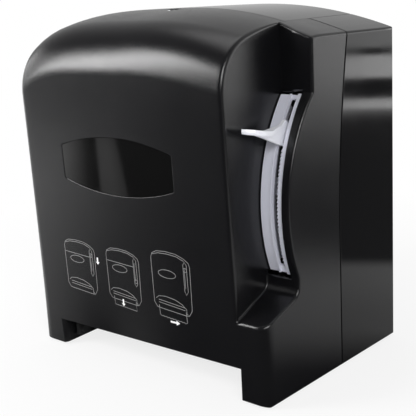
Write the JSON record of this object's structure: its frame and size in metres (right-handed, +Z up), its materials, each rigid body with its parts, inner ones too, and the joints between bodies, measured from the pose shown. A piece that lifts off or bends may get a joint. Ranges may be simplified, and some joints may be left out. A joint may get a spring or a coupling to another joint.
{
  "type": "lever paper towel dispenser",
  "caption": "Lever-operated roll towel dispenser: black drop-front cover with window, side lever in a toothed guide, geared feed rollers, tear bar and roll holders.",
  "frame": {"origin": "centre of the overall box in plan, at the base of the rubber pads", "axes": "+X towards the lever side, -Y out of the front, +Z up"},
  "size_m": [0.3774, 0.2464, 0.3985],
  "materials": {
    "cover_black": "fine-grained satin black moulded plastic",
    "housing_black": "glossy black moulded plastic",
    "smoke_pane": "glossy smoke-black window",
    "white_plastic": "satin white moulded plastic",
    "grey_plastic": "matte grey moulded plastic",
    "black_plastic": "matte black moulded plastic",
    "rubber": "matte rubber",
    "steel": "zinc-plated steel",
    "spring_steel": "bright spring wire"
  },
  "bodies": {
    "housing": {"rear_housing": "housing_black", "housing_pads": "rubber", "side_plate_left": "grey_plastic", "side_plate_right": "grey_plastic", "tie_rods": "steel", "tie_screws": "steel", "hinge_pins": "steel", "front_guide": "black_plastic", "tear_bar": "steel", "paper_chute": "black_plastic", "lever_guide": "white_plastic", "guide_screws": "steel", "lever_shaft": "steel", "lever_spring": "spring_steel", "drive_bushes": "white_plastic", "pinch_bushes": "white_plastic", "pinch_springs": "spring_steel", "spring_seats": "grey_plastic", "roll_arm_right": "grey_plastic", "arm_pin": "steel", "arm_leaf_spring": "spring_steel", "lock_keeper": "steel"},
    "cover": {"front_cover": "cover_black", "window_pane": "smoke_pane", "cover_pads": "rubber"},
    "lock": {"lock_barrel": "steel", "lock_hook": "steel"},
    "lever": {"lever_arm": "white_plastic", "sector_gear": "grey_plastic", "pawl_pin": "steel"},
    "pawl": {"pawl": "grey_plastic"},
    "drive_roller": {"drive_shaft": "steel", "drive_core": "grey_plastic", "drive_sleeves": "rubber", "drive_pinion": "white_plastic", "drive_collar": "grey_plastic"},
    "pinch_roller": {"pinch_shaft": "steel", "pinch_sleeves": "white_plastic"},
    "roll_plug_right": {"roll_plug_right": "white_plastic"},
    "roll_arm_left": {"roll_arm_left": "grey_plastic"},
    "roll_plug_left": {"roll_plug_left": "white_plastic"}
  },
  "joints": [
    {"name": "cover_hinge", "type": "hinge", "parent": "housing", "child": "cover", "pos_m": [0, -0.08782, 0.0145], "axis": [1, 0, 0], "range_deg": [0, 95]},
    {"name": "lock_turn", "type": "hinge", "parent": "cover", "child": "lock", "pos_m": [0, -0.02882, 0.3825], "axis": [0, 0, -1], "range_deg": [0, 90]},
    {"name": "lever_stroke", "type": "hinge", "parent": "housing", "child": "lever", "pos_m": [0.15, 0.10518, 0.193], "axis": [1, 0, 0], "range_deg": [0, 40], "stiffness_Nm_per_rad": 0.35, "springref_deg": -34.38},
    {"name": "pawl_tilt", "type": "hinge", "parent": "lever", "child": "pawl", "pos_m": [0.1565, -0.03575, 0.25872], "axis": [1, 0, 0], "range_deg": [0, 10], "stiffness_Nm_per_rad": 0.004, "springref_deg": -17.19},
    {"name": "drive_roller_turn", "type": "hinge", "parent": "housing", "child": "drive_roller", "pos_m": [0, 0.01776, 0.08882], "axis": [1, 0, 0], "range_deg": [-300, 0]},
    {"name": "pinch_roller_turn", "type": "hinge", "parent": "housing", "child": "pinch_roller", "pos_m": [0, -0.01208, 0.08356], "axis": [1, 0, 0], "range_deg": [0, 518.19]},
    {"name": "roll_plug_right_turn", "type": "hinge", "parent": "housing", "child": "roll_plug_right", "pos_m": [0.1, 0.01218, 0.2375], "axis": [1, 0, 0], "continuous": true},
    {"name": "roll_arm_left_swing", "type": "hinge", "parent": "housing", "child": "roll_arm_left", "pos_m": [-0.1135, 0.01218, 0.1425], "axis": [0, -1, 0], "range_deg": [0, 6], "stiffness_Nm_per_rad": 1.2, "springref_deg": -5.73},
    {"name": "roll_plug_left_turn", "type": "hinge", "parent": "roll_arm_left", "child": "roll_plug_left", "pos_m": [-0.1, 0.01218, 0.2375], "axis": [1, 0, 0], "continuous": true}
  ],
  "couplings": [
    {"joint": "drive_roller_turn", "follows": "lever_stroke", "ratio": -7.5},
    {"joint": "pinch_roller_turn", "follows": "lever_stroke", "ratio": 12.955}
  ]
}
